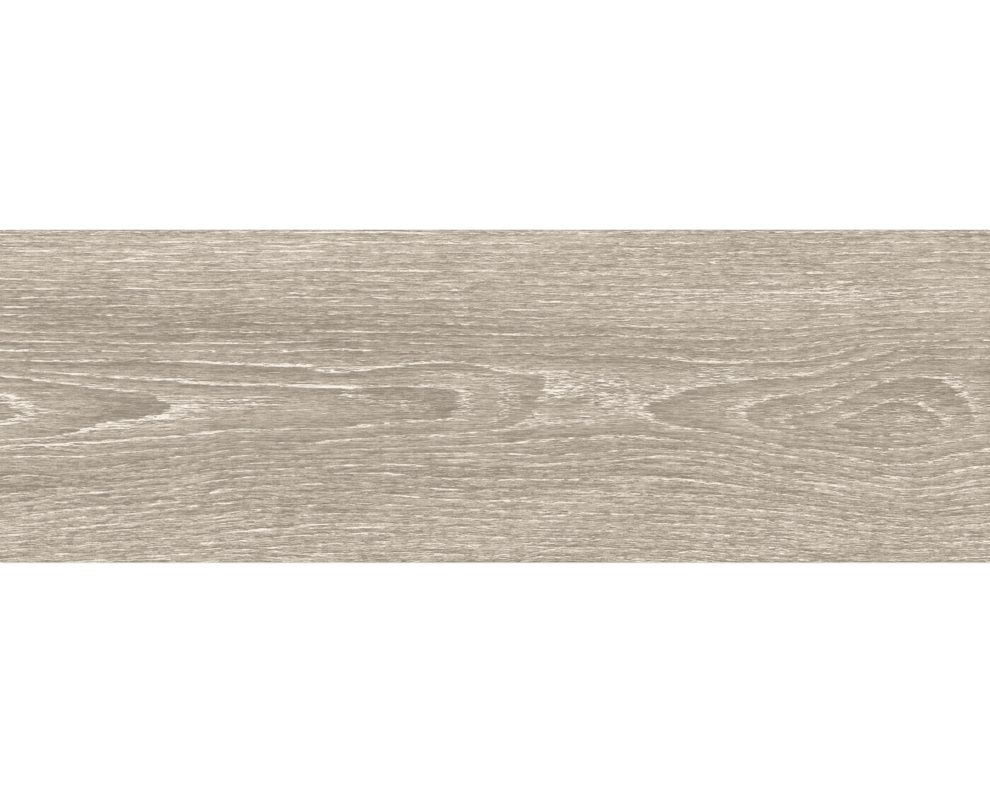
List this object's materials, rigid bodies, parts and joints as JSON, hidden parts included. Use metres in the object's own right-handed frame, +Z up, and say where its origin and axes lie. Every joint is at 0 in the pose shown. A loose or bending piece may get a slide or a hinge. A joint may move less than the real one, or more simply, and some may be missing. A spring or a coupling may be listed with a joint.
{
  "type": "ceramic floor tile",
  "caption": "Plank-shaped glazed ceramic floor tile with a limed-oak wood-grain face, softened edges and a back of crossing key ribs for adhesive.",
  "frame": {"origin": "middle of the tile's back, at the level of the rib tops that it rests on", "axes": "+X along the plank, +Y across it towards the top of the picture, +Z up out of the glazed face"},
  "size_m": [0.6, 0.2, 0.009],
  "materials": {
    "glazed_face_and_body": "matte"
  },
  "bodies": {
    "root": {"floor_tile": "glazed_face_and_body"}
  },
  "joints": []
}
